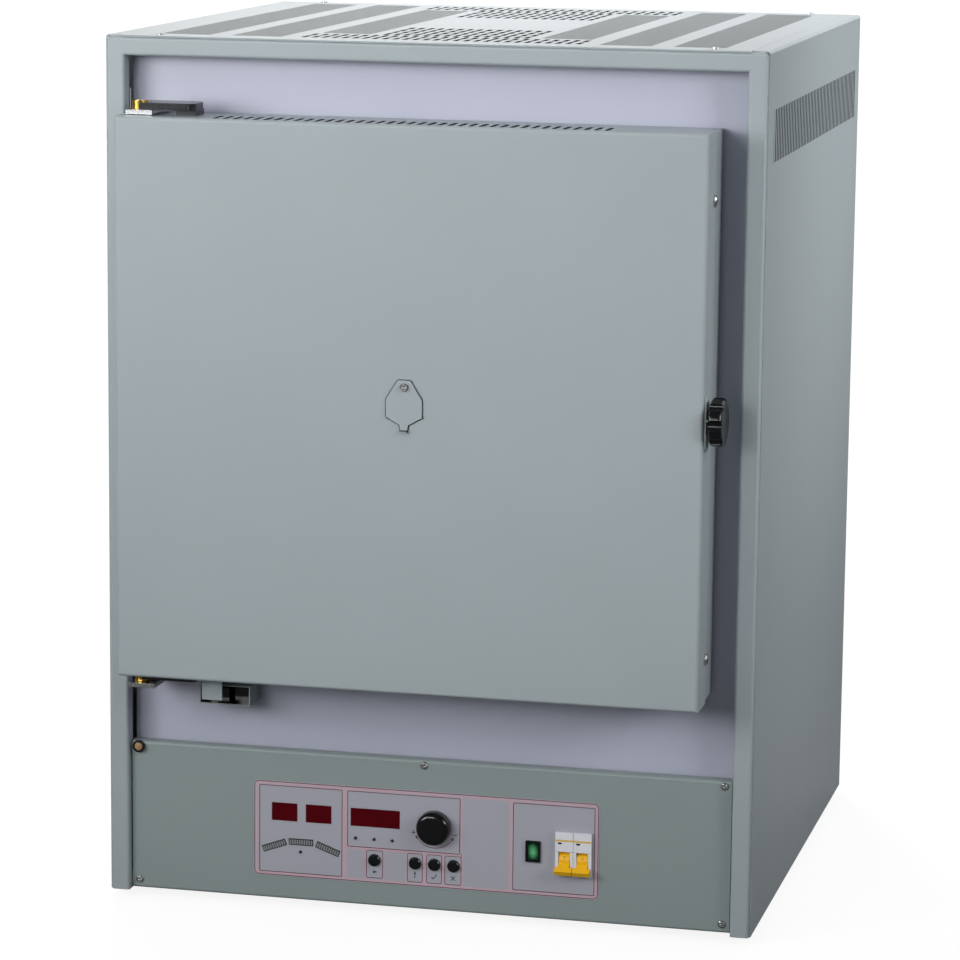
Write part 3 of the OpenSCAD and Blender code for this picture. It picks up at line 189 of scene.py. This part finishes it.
# Frosted lenses of the unlit light bars and lamps
lamp_lens = finish("frosted_lens_grey", "858B8C", 0.35, vary=0.05, vary_mm=5, grain_mm=0.6, grain_um=6, edge_mm=0.1)
lamp_case = finish("lamp_housing_dark", "1E2123", 0.45, grain_mm=0.6, grain_um=4, edge_mm=0.1)
# Moulded polyamide of the breaker, its handles and the relay
breaker_plastic = finish("polyamide_pale_grey", "E2E5EC", 0.45, vary=0.02, vary_mm=15, grain_mm=0.5, grain_um=5,
                         edge_mm=0.3)
handle_plastic = finish("polyamide_yellow", "F9BE14", 0.38, vary=0.02, vary_mm=15, grain_mm=0.5, grain_um=4,
                        edge_mm=0.5)
stripe_print = finish("pad_print_ochre", "DDB84E", 0.45, vary=0.06, vary_mm=4, grain_mm=0.8, grain_um=3, edge_mm=0.05)
ring_print = finish("pad_print_orange", "C07A12", 0.45, grain_mm=0.8, grain_um=3, edge_mm=0.05)
terminal_plastic = finish("melamine_grey_green", "8A928E", 0.5, grain_mm=0.7, grain_um=6)
# Glass-epoxy board under green solder mask
board_laminate = finish("glass_epoxy_green", "23533A", 0.32, vary=0.08, vary_mm=9, grain_mm=0.8, grain_um=8)
# Set sealing wax in the cup, a little uneven
seal_wax = finish("sealing_wax_tan", "A3835C", 0.5, vary=0.1, vary_mm=3, grain_mm=1.5, grain_um=60, edge_mm=0.3)


# Millimetres: the middle of the rocker's cap
ROCKER = (108, 8, 69.2)


def lit_rocker():
    """A green translucent cap with a neon lamp behind its middle: brightest there and deep green at its ends."""
    made, tree, shader, where = new_material("neon_lit_green_cap")
    offset = add(tree, "VectorMath", {"operation": "SUBTRACT", 1: at(*ROCKER)}, {0: where}).outputs["Vector"]
    shaped = add(tree, "Mapping", {"Scale": (1.6, 0.3, 1.0)}, {"Vector": offset}).outputs["Vector"]
    away = add(tree, "VectorMath", {"operation": "LENGTH"}, {0: shaped}).outputs["Value"]
    glow = spread(tree, away, 1.0, 0.0, 0.001, 0.0085)
    tone = add(tree, "ValToRGB", {}, {"Fac": glow})
    tone.color_ramp.elements[0].color = linear("083A1C")
    tone.color_ramp.elements[1].color = linear("5FBA80")
    tree.links.new(tone.outputs["Color"], shader.inputs["Base Color"])
    tree.links.new(tone.outputs["Color"], shader.inputs["Emission Color"])
    shader.inputs["Emission Strength"].default_value = 0.12
    shader.inputs["Roughness"].default_value = 0.2
    return made


NODE_FINISHES = {
    casing_coat: ("front_frame", "side_panel_left", "side_panel_right", "top_panel", "rear_panel", "door_cover",
                  "door_pan", "peephole_flap", "interlock_tab", "latch_escutcheon"),
    fascia_enamel: ("fascia",),
    # A darker copy of the casing's paint: painted shade for the low, dim front
    shaded_panel_coat: ("control_panel", "interlock_box"),
    bracket_coat: ("hinge_arms",),
    zinc_sheet: ("base_pan", "bay_shelf", "encoder_body", "din_rail", "fan_guard"),
    # The inner case is near-black as painted shade inside the vents
    shade_dark_steel: ("inner_case",),
    bright_steel: ("hinge_brackets", "hinge_pins", "latch_keeper", "latch_hook", "casing_screws", "door_screws"),
    hinge_brass: ("hinge_barrels",),
    heatsink_metal: ("relay_heatsink",),
    black_plastic: ("button_switches", "rocker_bezel", "fan_frame", "cable_gland", "interlock_switch", "seal_cup",
                    "latch_knob", "setting_knob", "button_start", "button_shift",
                    "button_enter", "button_cancel", "fan_rotor"),
    foot_rubber: ("feet",),
    fibre_board: ("chamber_insulation", "door_insulation", "door_gasket"),
    fired_ceramic: ("mouth_collar", "hearth_plate", "thermocouple", "exhaust_tube", "peephole_tube"),
    kiln_wire: ("heating_coils",),
    overlay_film: ("control_overlay",),
    red_acrylic: ("display_windows",),
    lamp_case: ("indicator_lamps",),
    breaker_plastic: ("breaker_body", "relay_block"),
    handle_plastic: ("breaker_toggles",),
    terminal_plastic: ("terminal_block",),
    board_laminate: ("control_board",),
    lit_rocker(): ("rocker_lever",),
}


# Sheets whose slot walls and edges carry painted shade: the axis of the sheet's normal, and the box in millimetres
# that holds those walls and edges
SHADED_EDGE_SHEETS = {"top_panel": (2, (-280, 20, 853.5), (280, 600, 856)),
              "side_panel_left": (0, (-326, 40, 600), (-323.5, 600, 835)),
              "side_panel_right": (0, (323.5, 40, 600), (326, 600, 835)),
              "door_cover": (2, (-210, -58, 780.5), (195, -20, 783)),
              "peephole_flap": (1, (-60, -80, 440), (60, -55, 580))}
# In metres: the middle of the screw that the flap turns on, across and up, how far from it the flap's hole reaches,
# and the width of the flap's dark bevel, which is painted shadow of the gap round it
FLAP_SCREW = Vector((-0.0075, 0.541))
FLAP_HOLE_ROOM = 0.005
FLAP_SHADE_W = 0.0007
# The inside of the switch hood, which is lined with black plastic
HOOD_INSIDE = ((-226.6, -9.5, 200.8), (-176.4, 25.4, 219.0))


def paint_part(name, material, low, high, wanted):
    """Gives a second material to the faces whose middles lie in a box, if their normals are wanted."""
    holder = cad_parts[name]
    low, high = at(*low), at(*high)
    holder.data.materials.append(material)
    for face in holder.data.polygons:
        middle = holder.matrix_world @ face.center
        if wanted(face.normal) and all(low[i] <= middle[i] <= high[i] for i in range(3)):
            face.material_index = 1


def paint_nodes():
    """Gives every CAD node its material, and its slot walls (near-black painted shade) or lined faces a second one.
    """
    for material, names in NODE_FINISHES.items():
        for name in names:
            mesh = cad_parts[name].data
            mesh.materials.clear()
            mesh.materials.append(material)
    # Slot walls and the flap's edge take near-black painted shade, for the dark inside the openings and in the gap
    for name, (axis, low, high) in SHADED_EDGE_SHEETS.items():
        paint_part(name, painted_shade_edge, low, high, lambda normal: abs(normal[axis]) < 0.3)
    paint_part("interlock_box", black_plastic, *HOOD_INSIDE, lambda normal: True)


def shade_flap_outline():
    """A narrow near-black chamfer round the peephole flap, which shows as its dark outline: painted shadow of the gap
    round the flap.
    """
    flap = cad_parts["peephole_flap"]
    # Only the outline is joined, so that the hole under the screw stays as it is
    far = [v.index for v in flap.data.vertices if math.hypot(*(v.co.xz - FLAP_SCREW)) > FLAP_HOLE_ROOM]
    flap.vertex_groups.new(name="outline").add(far, 1.0, "REPLACE")
    joined = flap.modifiers.new("joined_edges", "WELD")
    joined.merge_threshold = 0.00001
    joined.vertex_group = "outline"
    flap_shade_bevel = flap.modifiers.new("flap_shade_bevel", "BEVEL")
    flap_shade_bevel.width = FLAP_SHADE_W
    flap_shade_bevel.segments = 1
    flap_shade_bevel.use_clamp_overlap = False
    flap_shade_bevel.limit_method = "ANGLE"
    # The bevel's faces take the near-black second material: painted shadow of the gap round the flap
    flap_shade_bevel.material = 1


# Mesh making
def piece(name, parts, material, body, smooth=False):
    """One object from parts, each a list of points in millimetres and a list of faces."""
    points, faces = [], []
    for part_points, part_faces in parts:
        first = len(points)
        points += [at(*p) for p in part_points]
        faces += [[first + i for i in face] for face in part_faces]
    mesh = bpy.data.meshes.new(name)
    mesh.from_pydata(points, [], faces)
    mesh.materials.append(material)
    shape = bmesh.new()
    shape.from_mesh(mesh)
    bmesh.ops.recalc_face_normals(shape, faces=shape.faces)
    shape.to_mesh(mesh)
    shape.free()
    if smooth:
        mesh.shade_smooth()
    made = bpy.data.objects.new(name, mesh)
    bpy.context.collection.objects.link(made)
    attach(made, body)
    return made


def rounded_loop(low, high, radius, steps=6):
    """The outline of a rectangle with round corners in the XZ plane."""
    loop = []
    for turn, (x, z) in enumerate(((high[0] - radius, high[1] - radius), (low[0] + radius, high[1] - radius),
                                   (low[0] + radius, low[1] + radius), (high[0] - radius, low[1] + radius))):
        for step in range(steps + 1):
            angle = math.radians(90 * (turn + step / steps))
            loop.append((x + radius * math.cos(angle), z + radius * math.sin(angle)))
    return loop


def slab(loop, front, back):
    """A closed plate with that outline in the XZ plane, from depth front to depth back."""
    count = len(loop)
    points = [(x, front, z) for x, z in loop] + [(x, back, z) for x, z in loop]
    faces = [list(range(count)), list(range(2 * count - 1, count - 1, -1))]
    for i in range(count):
        j = (i + 1) % count
        faces.append([j, i, count + i, count + j])
    return points, faces


def frame_slab(outer, inner, front, back):
    """A closed frame between two outlines with the same number of points."""
    count = len(outer)
    points = [(x, y, z) for y in (front, back) for loop in (outer, inner) for x, z in loop]
    faces = []
    for i in range(count):
        j = (i + 1) % count
        faces += [[i, j, count + j, count + i], [2 * count + j, 2 * count + i, 3 * count + i, 3 * count + j],
                  [j, i, 2 * count + i, 2 * count + j], [count + i, count + j, 3 * count + j, 3 * count + i]]
    return points, faces


def strip(x0, z0, x1, z1, width, front, back):
    """A straight printed line from one point to another."""
    length = math.hypot(x1 - x0, z1 - z0)
    nx, nz = -(z1 - z0) / length * width / 2, (x1 - x0) / length * width / 2
    return slab([(x1 - nx, z1 - nz), (x1 + nx, z1 + nz), (x0 + nx, z0 + nz), (x0 - nx, z0 - nz)], front, back)


def line_box(low, high, radius, width, front, back):
    """The printed outline of a box, width wide, inside those corners."""
    return frame_slab(rounded_loop(low, high, radius),
                      rounded_loop((low[0] + width, low[1] + width), (high[0] - width, high[1] - width),
                                   max(radius - width, 0.1)), front, back)


# Printed overlay, in millimetres: the depths of its film and inks, and the corners of what is printed
OVERLAY_FACE = 7.4
INK_BACK = OVERLAY_FACE + 0.02
BAND_FACE = OVERLAY_FACE - 0.03
LINE_FACE = OVERLAY_FACE - 0.06
LINE_W = 0.75
BORDER = ((-176.2, 25.0), (173.2, 121.2))
BAND_W = 3.6
BOXES = (((-171.0, 28.2), (-85.5, 117.2)), ((-80.5, 60.0), (34.5, 117.0)), ((87.5, 28.4), (169.6, 117.0)))
KEY_BOXES = (((-61.0, 29.5), (-43.7, 58.0)), ((-19.2, 28.5), (-3.3, 58.0)), ((0.3, 28.5), (16.3, 58.0)),
             ((18.9, 28.5), (36.0, 58.0)))
KNOB = (8.5, 86.3)


def print_bands():
    """The broad pale bands: one round the film, and those between its boxes."""
    (x0, z0), (x1, z1) = BORDER
    inner = ((x0 + BAND_W, z0 + BAND_W - 0.6), (x1 - BAND_W, z1 - BAND_W))
    parts = [frame_slab(rounded_loop(*BORDER, 5), rounded_loop(*inner, 2.5), BAND_FACE, INK_BACK)]
    low, high = inner[0][1] - 0.5, inner[1][1] + 0.5
    for left, right, bottom, top in ((-85.5, -80.5, low, high), (83.6, 87.5, low, high), (-80.4, 36.5, 57.6, 60.2),
                                     (34.5, 36.5, 60.0, high), (-3.6, 0.6, low, 57.8), (16.0, 19.2, low, 57.8),
                                     (-62.6, -60.8, low, 57.8), (-43.9, -42.2, low, 57.8),
                                     (-20.8, -19.0, low, 57.8), (35.8, 37.6, low, 60.0)):
        parts.append(slab([(right, top), (left, top), (left, bottom), (right, bottom)], BAND_FACE + 0.005, INK_BACK))
    piece("overlay_bands", parts, print_pink, "casing")


def arrow_head(x, z, angle, size):
    """A solid triangle that points along angle, in degrees."""
    tip = [(size, 0), (-size * 0.5, size * 0.55), (-size * 0.5, -size * 0.55)]
    c, s = math.cos(math.radians(angle)), math.sin(math.radians(angle))
    return slab([(x + c * a - s * b, z + s * a + c * b) for a, b in tip], LINE_FACE, INK_BACK)


def print_lines():
    """The fine dark outlines of the film, its boxes and the keys, and the arc with two arrows under the knob."""
    parts = [line_box(*BORDER, 5, LINE_W, LINE_FACE, INK_BACK)]
    parts += [line_box(*box, 1.2, LINE_W, LINE_FACE, INK_BACK) for box in BOXES]
    parts += [line_box(*box, 2.0, LINE_W * 0.9, LINE_FACE, INK_BACK) for box in KEY_BOXES]
    reach, turns = 21.5, [math.radians(a) for a in range(214, 327, 4)]
    around = [(KNOB[0] + (reach + side * 0.35) * math.cos(a), KNOB[1] + (reach + side * 0.35) * math.sin(a))
              for side, order in ((1, turns), (-1, turns[::-1])) for a in order]
    half = len(turns)
    for i in range(half - 1):
        quad = [around[i], around[i + 1], around[2 * half - 2 - i], around[2 * half - 1 - i]]
        parts.append(slab(quad, LINE_FACE, INK_BACK))
    for angle, turn in ((212, -1), (328, 1)):
        x, z = (KNOB[0] + reach * math.cos(math.radians(angle)), KNOB[1] + reach * math.sin(math.radians(angle)))
        parts.append(arrow_head(x, z, angle + 90 * turn, 2.6))
    piece("overlay_lines", parts, print_red, "casing")


def print_marks():
    """Plain signs: plus and minus at the knob, and one simple sign under each key."""
    def mark(*values):
        return strip(*values, LINE_FACE, INK_BACK)
    parts = [mark(-15, 79.3, -10.6, 79.3, 0.8), mark(-12.8, 77.1, -12.8, 81.5, 0.8), mark(27, 79.3, 31.4, 79.3, 0.8)]
    parts.append(arrow_head(-52.4, 36.0, 0, 3.0))
    parts += [mark(-11.2, 32.6, -11.2, 38.0, 0.9), arrow_head(-11.2, 38.0, 90, 2.2)]
    parts += [mark(5.6, 35.2, 7.6, 33.2, 0.9), mark(7.3, 33.2, 11.2, 38.0, 0.9)]
    parts += [mark(25.4, 33.0, 29.8, 37.6, 0.9), mark(25.4, 37.6, 29.8, 33.0, 0.9)]
    piece("overlay_signs", parts, print_dark, "casing")


# Lamps: each bar's middle and tilt, and each round lamp's middle
LIGHT_BARS = ((-155.5, 55.5, 20), (-128, 60.5, 0), (-100.5, 55.5, -20))
LAMPS = ((-128.5, 50.5), (-72, 69), (-53, 69), (-34.5, 69))


def lamp_lenses():
    """Ten frosted segments in each light bar, and a dome on each round lamp."""
    parts = []
    for x, z, tilt in LIGHT_BARS:
        c, s = math.cos(math.radians(tilt)), math.sin(math.radians(tilt))
        for i in range(10):
            loop = [(2.42 * (i - 4.5) + a, b) for a, b in rounded_loop((-0.8, -2.4), (0.8, 2.4), 0.25, 2)]
            parts.append(slab([(x + c * a - s * b, z + s * a + c * b) for a, b in loop], 6.85, 7.3))
    piece("bar_segments", parts, lamp_lens, "casing")
    piece("lamp_domes", [dome(x, 6.85, z, 1.45, 1.1) for x, z in LAMPS], lamp_case, "casing", True)


def dome(x, base, z, radius, height, rings=5, around=20):
    """A closed dome that swells towards the front from its base."""
    points, faces = [], []
    for ring in range(rings):
        lift = math.radians(90 * ring / rings)
        for i in range(around):
            turn = math.tau * i / around
            points.append((x + radius * math.cos(lift) * math.cos(turn), base - height * math.sin(lift),
                           z + radius * math.cos(lift) * math.sin(turn)))
    points.append((x, base - height, z))
    for ring in range(rings - 1):
        for i in range(around):
            j = (i + 1) % around
            faces.append([ring * around + i, ring * around + j, (ring + 1) * around + j, (ring + 1) * around + i])
    top = (rings - 1) * around
    faces += [[top + i, top + (i + 1) % around, len(points) - 1] for i in range(around)]
    faces.append(list(range(around - 1, -1, -1)))
    return points, faces


# Breaker
BREAKER = (149.0, 69.5)
BREAKER_NOSE = 3.0
# The drum that each handle turns on: its axis in depth and height, and its radius
DRUM_Y = 12
DRUM_Z = 62.5
DRUM_R = 8.55
RING_LIFT = 0.11


def breaker_trim():
    """The coloured stripe across both poles, the dark position windows below it and the seam under them."""
    x, z = BREAKER
    stripe = [slab(rounded_loop((x - 17.6, z + 12.7), (x + 17.6, z + 14.5), 0.3, 2), BREAKER_NOSE - 0.05,
                   BREAKER_NOSE + 0.02)]
    piece("breaker_stripe", stripe, stripe_print, "casing")
    windows = [slab(rounded_loop((x + a - 1.9, z + 9.95), (x + a + 1.9, z + 11.65), 0.3, 2),
                    BREAKER_NOSE + 0.5, BREAKER_NOSE + 0.78) for a in (-13.6, 4.8)]
    piece("breaker_windows", windows, black_plastic, "casing")
    seam = [slab([(x + b, z + 2.9), (x + a, z + 2.9), (x + a, z + 2.6), (x + b, z + 2.6)], BREAKER_NOSE - 0.04,
                 BREAKER_NOSE + 0.02) for a, b in ((-17.4, -15.4), (-2.6, 2.6), (15.4, 17.4))]
    piece("breaker_seams", seam, print_dark, "casing")


def handle_rings():
    """A small ring printed on the drum of each breaker handle, which shows above the joined grips."""
    parts = []
    for side in (-1, 1):
        x = BREAKER[0] + 9 * side
        for step in range(16):
            quad = [(x + r * math.cos(math.tau * t / 16), 3.6 + r * math.sin(math.tau * t / 16))
                    for t, r in ((step, 1.25), (step + 1, 1.25), (step + 1, 0.75), (step, 0.75))]
            front, back = ([(a, DRUM_Y - math.sqrt(r * r - b * b), DRUM_Z + b) for a, b in quad]
                           for r in (DRUM_R + RING_LIFT, DRUM_R))
            parts.append((front + back, [[0, 1, 2, 3], [7, 6, 5, 4], [0, 4, 5, 1], [1, 5, 6, 2], [2, 6, 7, 3],
                                         [3, 7, 4, 0]]))
    piece("handle_rings", parts, ring_print, "main_breaker")


def wax_plug():
    """The wax over the screw in the seal cup."""
    piece("seal_wax", [dome(-296, 4.9, 147.6, 4.3, 1.6)], seal_wax, "casing", True)


# Heating coils
# The coils lie in both side walls, COIL_X to either side of the chamber's middle
CHAMBER_X = -7.5
COIL_X = 173.5
COIL_Z = [378.5 + 65 * i for i in range(5)]
COIL_Y = (68.2, 456.8)
COIL_PITCH = 5.2
WINDING_R = 5.7
WIRE_R = 0.95
LEAD_Y = (452.0, 575.0)
LEAD_R = 2.4


def winding(x, z, hand):
    """A close winding of round wire, as a closed tube along a helix."""
    around, sides = 14, 6
    steps = int((COIL_Y[1] - COIL_Y[0] - 2 * WIRE_R) / COIL_PITCH * around)
    points, faces = [], []
    for step in range(steps + 1):
        turn = hand * math.tau * step / around
        out = Vector((math.cos(turn), 0, math.sin(turn)))
        middle = Vector((x, COIL_Y[0] + WIRE_R + COIL_PITCH * step / around, z)) + out * WINDING_R
        for side in range(sides):
            a = math.tau * side / sides
            points.append(tuple(middle + (out * math.cos(a) + Vector((0, 1, 0)) * math.sin(a)) * WIRE_R))
    for step in range(steps):
        for side in range(sides):
            a, b = step * sides + side, step * sides + (side + 1) % sides
            faces.append([a, b, b + sides, a + sides])
    last = steps * sides
    faces += [list(range(sides - 1, -1, -1)), list(range(last, last + sides))]
    return points, faces


def coil_windings():
    """The wound coils in their grooves, and the straight leads from their ends to the back."""
    parts = [winding(CHAMBER_X + side * COIL_X, z, side) for side in (-1, 1) for z in COIL_Z]
    made = piece("coil_windings", parts, kiln_wire, "casing", True)
    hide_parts("heating_coils")
    parts = []
    for side in (-1, 1):
        for z in COIL_Z:
            x = CHAMBER_X + side * COIL_X
            turns = [math.tau * i / 16 for i in range(16)]
            parts.append(slab([(x + LEAD_R * math.cos(a), z + LEAD_R * math.sin(a)) for a in turns], *LEAD_Y))
    leads = piece("coil_leads", parts, kiln_wire, "casing", True)
    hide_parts("heating_coils")


# Surroundings
FLOOR_HALF = 60.0
# Each softbox: its name, place and aim in metres, side in metres, spread in degrees and power in watts
SOFTBOXES = (("left_softbox", (-1.5, -1.9, 1.15), (-0.05, -0.3, 0.88), 1.0, 80, 6.2),
             ("front_softbox", (-1.0, -4.0, 1.5), (0.0, -0.2, 0.66), 1.2, 44, 2.6),
             ("right_strip", (2.0, -1.1, 1.2), (0.28, -0.06, 0.6), 0.8, 46, 1.9),
             ("right_softbox", (1.5, 0.3, 1.35), (0.325, 0.3, 0.8), 0.7, 52, 1.6),
             ("back_softbox", (-0.5, 1.3, 1.9), (-0.05, 0.42, 0.85), 0.9, 55, 3.1))


def lights():
    """Softboxes around the object, a pale backdrop and a dimmer room on the camera's side."""
    world = bpy.data.worlds.new("studio")
    world.use_nodes = True
    tree = world.node_tree
    sky = tree.nodes["Background"]
    seen = add(tree, "LightPath")
    towards = add(tree, "SeparateXYZ", {}, {"Vector": add(tree, "TexCoord").outputs["Generated"]})
    backdrop = spread(tree, towards.outputs["Y"], 0.12, 1.0, -0.2, 0.4)
    ambient = spread(tree, towards.outputs["Z"], 0.15, 0.42, -0.1, 0.9)
    lit = add(tree, "MapRange", {}, {"Value": seen.outputs["Is Glossy Ray"], "To Min": ambient, "To Max": backdrop})
    shown = add(tree, "Math", {"operation": "MAXIMUM"},
                {0: seen.outputs["Is Camera Ray"], 1: seen.outputs["Is Transmission Ray"]}).outputs["Value"]
    strength = add(tree, "MapRange", {"To Max": 1.0}, {"Value": shown, "To Min": lit.outputs["Result"]})
    tree.links.new(strength.outputs["Result"], sky.inputs["Strength"])
    sky.inputs["Color"].default_value = linear("FFFFFF")
    bpy.context.scene.world = world
    for name, place, aim, size, angle, power in SOFTBOXES:
        lamp = bpy.data.lights.new(name, "AREA")
        lamp.size = size
        lamp.spread = math.radians(angle)
        lamp.energy = power
        holder = bpy.data.objects.new(name, lamp)
        bpy.context.collection.objects.link(holder)
        turn = (Vector(aim) - Vector(place)).to_track_quat("-Z", "Y")
        holder.matrix_world = Matrix.Translation(place) @ turn.to_matrix().to_4x4()


def floor():
    """A pale floor that keeps the shadow and looks white where it is lit."""
    made, tree, shader, where = new_material("pale_floor")
    shader.inputs["Base Color"].default_value = linear("707070")
    shader.inputs["Roughness"].default_value = 0.9
    seen = add(tree, "LightPath")
    shader.inputs["Emission Color"].default_value = linear("FFFFFF")
    away = add(tree, "VectorMath", {"operation": "LENGTH"}, {0: where}).outputs["Value"]
    white = spread(tree, away, 0.88, 0.97, 0.7, 2.2)
    lift = add(tree, "Math", {"operation": "MULTIPLY"}, {0: seen.outputs["Is Camera Ray"], 1: white}).outputs["Value"]
    tree.links.new(lift, shader.inputs["Emission Strength"])
    mesh = bpy.data.meshes.new("floor")
    corners = [(FLOOR_HALF * x, FLOOR_HALF * y, 0) for x, y in ((-1, -1), (1, -1), (1, 1), (-1, 1))]
    mesh.from_pydata(corners, [], [[0, 1, 2, 3]])
    mesh.materials.append(made)
    plane = bpy.data.objects.new("floor", mesh)
    bpy.context.collection.objects.link(plane)


place_camera()
paint_nodes()
shade_flap_outline()
print_bands()
print_lines()
print_marks()
lamp_lenses()
breaker_trim()
handle_rings()
wax_plug()
coil_windings()
lights()
floor()

bpy.context.scene.view_settings.view_transform = "Standard"
